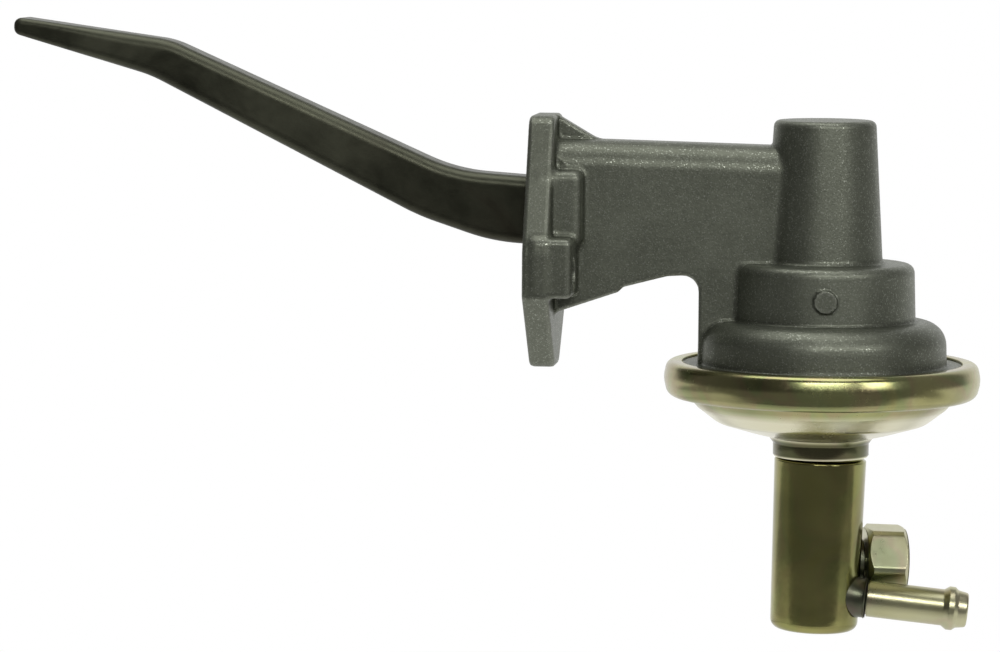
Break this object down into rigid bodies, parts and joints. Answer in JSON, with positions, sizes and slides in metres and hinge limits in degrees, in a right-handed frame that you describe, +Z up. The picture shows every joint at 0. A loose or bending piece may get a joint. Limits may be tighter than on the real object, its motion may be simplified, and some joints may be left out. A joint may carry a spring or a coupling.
{
  "type": "diesel lift pump",
  "caption": "Mechanical diaphragm fuel lift pump: long rocker arm, cast flanged body, crimped round cover and a valve can with a hexagon inlet and a hose nipple.",
  "frame": {"origin": "centre of the flange's mounting face, on the pump's upright middle plane, 32.5 mm below the flange's top edge", "axes": "-X out of the mounting face along the rocker arm, +X along the neck to the pump's body, +Z up along the pump's axis away from the valve can"},
  "size_m": [0.2488, 0.08, 0.1533],
  "materials": {
    "cast_body": "die-cast aluminium alloy, sand-grey with a fine sparkle and a chromate tint",
    "forged_arm": "forged and hardened steel, dark and oiled, worn bright on its edges",
    "bright_steel": "plain machined steel",
    "spring_wire": "drawn spring wire",
    "seal_rubber": "black fuel-resistant rubber",
    "diaphragm_cloth": "rubber-coated fabric",
    "plated_cover": "pressed steel, zinc plated and yellow chromated, iridescent",
    "plated_can": "drawn steel, zinc plated and yellow chromated, iridescent",
    "plated_fitting": "turned steel, zinc plated and yellow chromated, iridescent",
    "braze": "brazed joint under the plating"
  },
  "bodies": {
    "pump_body": {"housing": "cast_body", "rocker_pin": "bright_steel", "pin_plug": "bright_steel", "arm_spring": "spring_wire", "diaphragm_spring": "spring_wire", "rod_seal": "seal_rubber", "seal_retainer": "bright_steel", "diaphragm": "diaphragm_cloth", "cover": "plated_cover", "canister": "plated_can", "inlet_fitting": "plated_fitting", "inlet_collar": "braze", "outlet_nipple": "plated_fitting", "nipple_collar": "braze", "valve_plate": "bright_steel", "inlet_valve_cage": "bright_steel", "inlet_valve_spring": "spring_wire", "outlet_valve_cage": "bright_steel", "outlet_valve_spring": "spring_wire", "divider_plate": "bright_steel"},
    "rocker": {"rocker_arm": "forged_arm"},
    "diaphragm_rod": {"pull_rod": "bright_steel", "spring_cup": "bright_steel", "upper_plate": "bright_steel", "lower_plate": "bright_steel"},
    "inlet_valve": {"inlet_valve_disc": "seal_rubber"},
    "outlet_valve": {"outlet_valve_disc": "seal_rubber"}
  },
  "joints": [
    {"name": "arm_pivot", "type": "hinge", "parent": "pump_body", "child": "rocker", "pos_m": [0.0093, 0, 0.0085], "axis": [0, -1, 0], "range_deg": [0, 4], "stiffness_Nm_per_rad": 6, "springref_deg": -5.73},
    {"name": "rod_slide", "type": "slide", "parent": "pump_body", "child": "diaphragm_rod", "axis": [0, 0, 1], "range_m": [0, 0.0046], "deforming": ["arm_spring", "diaphragm_spring", "diaphragm"]},
    {"name": "inlet_valve_lift", "type": "slide", "parent": "pump_body", "child": "inlet_valve", "axis": [0, 0, 1], "range_m": [0, 0.0012], "stiffness_N_per_m": 60, "deforming": ["inlet_valve_spring"]},
    {"name": "outlet_valve_lift", "type": "slide", "parent": "pump_body", "child": "outlet_valve", "axis": [0, 0, -1], "range_m": [0, 0.0012], "stiffness_N_per_m": 60, "deforming": ["outlet_valve_spring"]}
  ],
  "couplings": [
    {"joint": "rod_slide", "follows": "arm_pivot", "m_per_rad": 0.0649}
  ]
}
